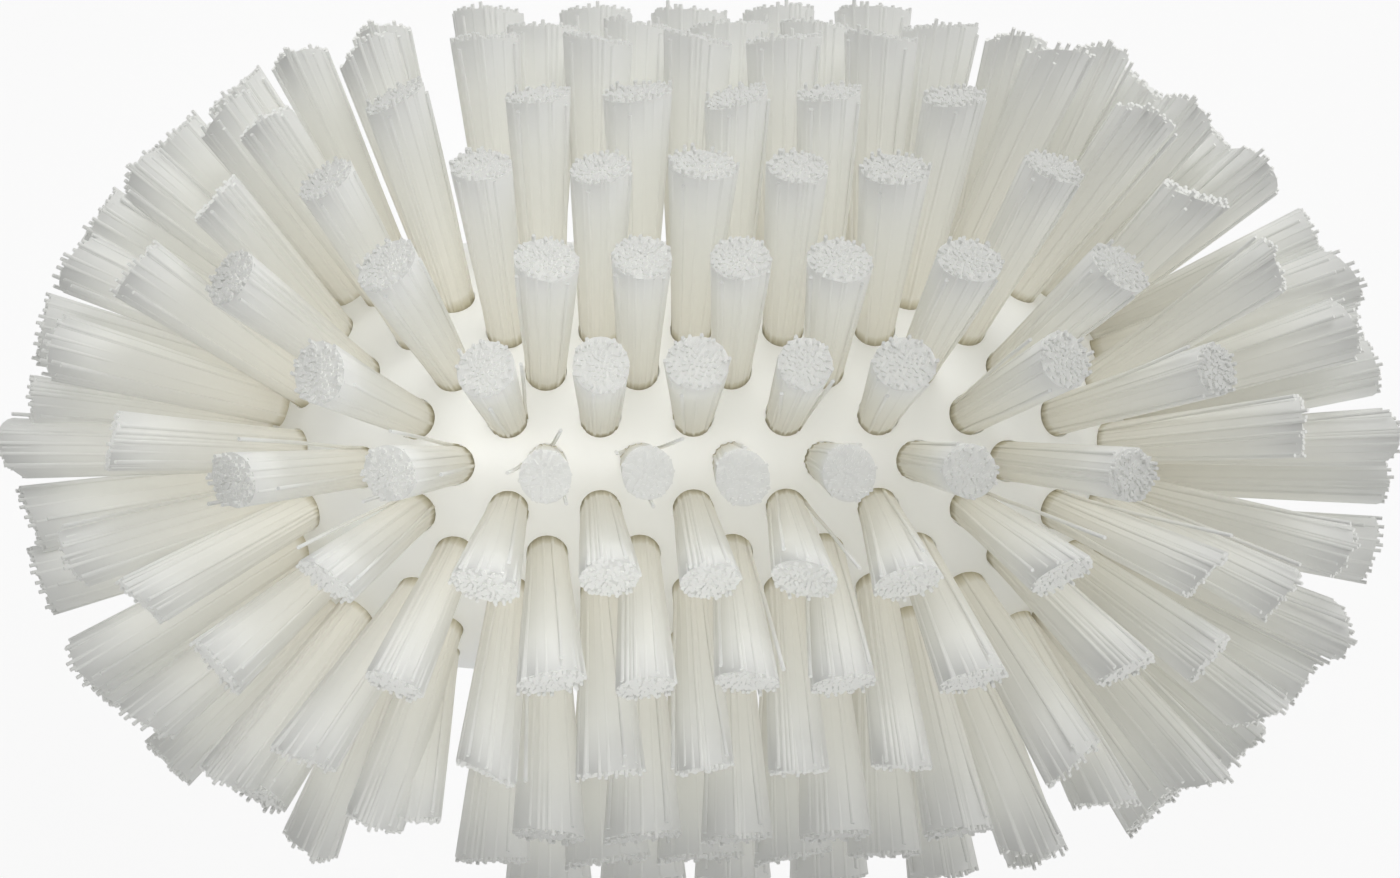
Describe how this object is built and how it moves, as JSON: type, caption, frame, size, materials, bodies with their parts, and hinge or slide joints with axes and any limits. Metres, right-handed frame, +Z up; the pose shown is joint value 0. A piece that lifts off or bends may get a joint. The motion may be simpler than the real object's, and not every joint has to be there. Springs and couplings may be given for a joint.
{
  "type": "tank brush head",
  "caption": "Stiff white scrubbing brush head for vats and tanks: a domed oblong block on a short socket neck, with bristle tufts that fan out upwards, to both sides and round both ends.",
  "frame": {"origin": "middle of the part's bounding box at its base, the plane of the neck's rim", "axes": "+X along the head's length, +Y to its back, +Z up out of the bristled side"},
  "size_m": [0.203, 0.1358, 0.0996],
  "materials": {
    "block_plastic": "satin white moulded polypropylene",
    "bristle_plastic": "translucent white polyester filament"
  },
  "bodies": {
    "root": {"block": "block_plastic", "middle_tufts_1": "bristle_plastic", "middle_tufts_2": "bristle_plastic", "middle_tufts_3": "bristle_plastic", "middle_tufts_4": "bristle_plastic", "middle_tufts_5": "bristle_plastic", "middle_tufts_6": "bristle_plastic", "middle_tufts_7": "bristle_plastic", "middle_tufts_8": "bristle_plastic", "middle_tufts_9": "bristle_plastic", "middle_tufts_10": "bristle_plastic", "left_crown_front": "bristle_plastic", "left_crown_back": "bristle_plastic", "left_upper_ring_front": "bristle_plastic", "left_upper_ring_centre": "bristle_plastic", "left_upper_ring_back": "bristle_plastic", "left_middle_ring_front": "bristle_plastic", "left_middle_ring_centre": "bristle_plastic", "left_middle_ring_back": "bristle_plastic", "left_lower_ring_front": "bristle_plastic", "left_lower_ring_centre": "bristle_plastic", "left_lower_ring_back": "bristle_plastic", "right_crown_front": "bristle_plastic", "right_crown_back": "bristle_plastic", "right_upper_ring_front": "bristle_plastic", "right_upper_ring_centre": "bristle_plastic", "right_upper_ring_back": "bristle_plastic", "right_middle_ring_front": "bristle_plastic", "right_middle_ring_centre": "bristle_plastic", "right_middle_ring_back": "bristle_plastic", "right_lower_ring_front": "bristle_plastic", "right_lower_ring_centre": "bristle_plastic", "right_lower_ring_back": "bristle_plastic"}
  },
  "joints": []
}
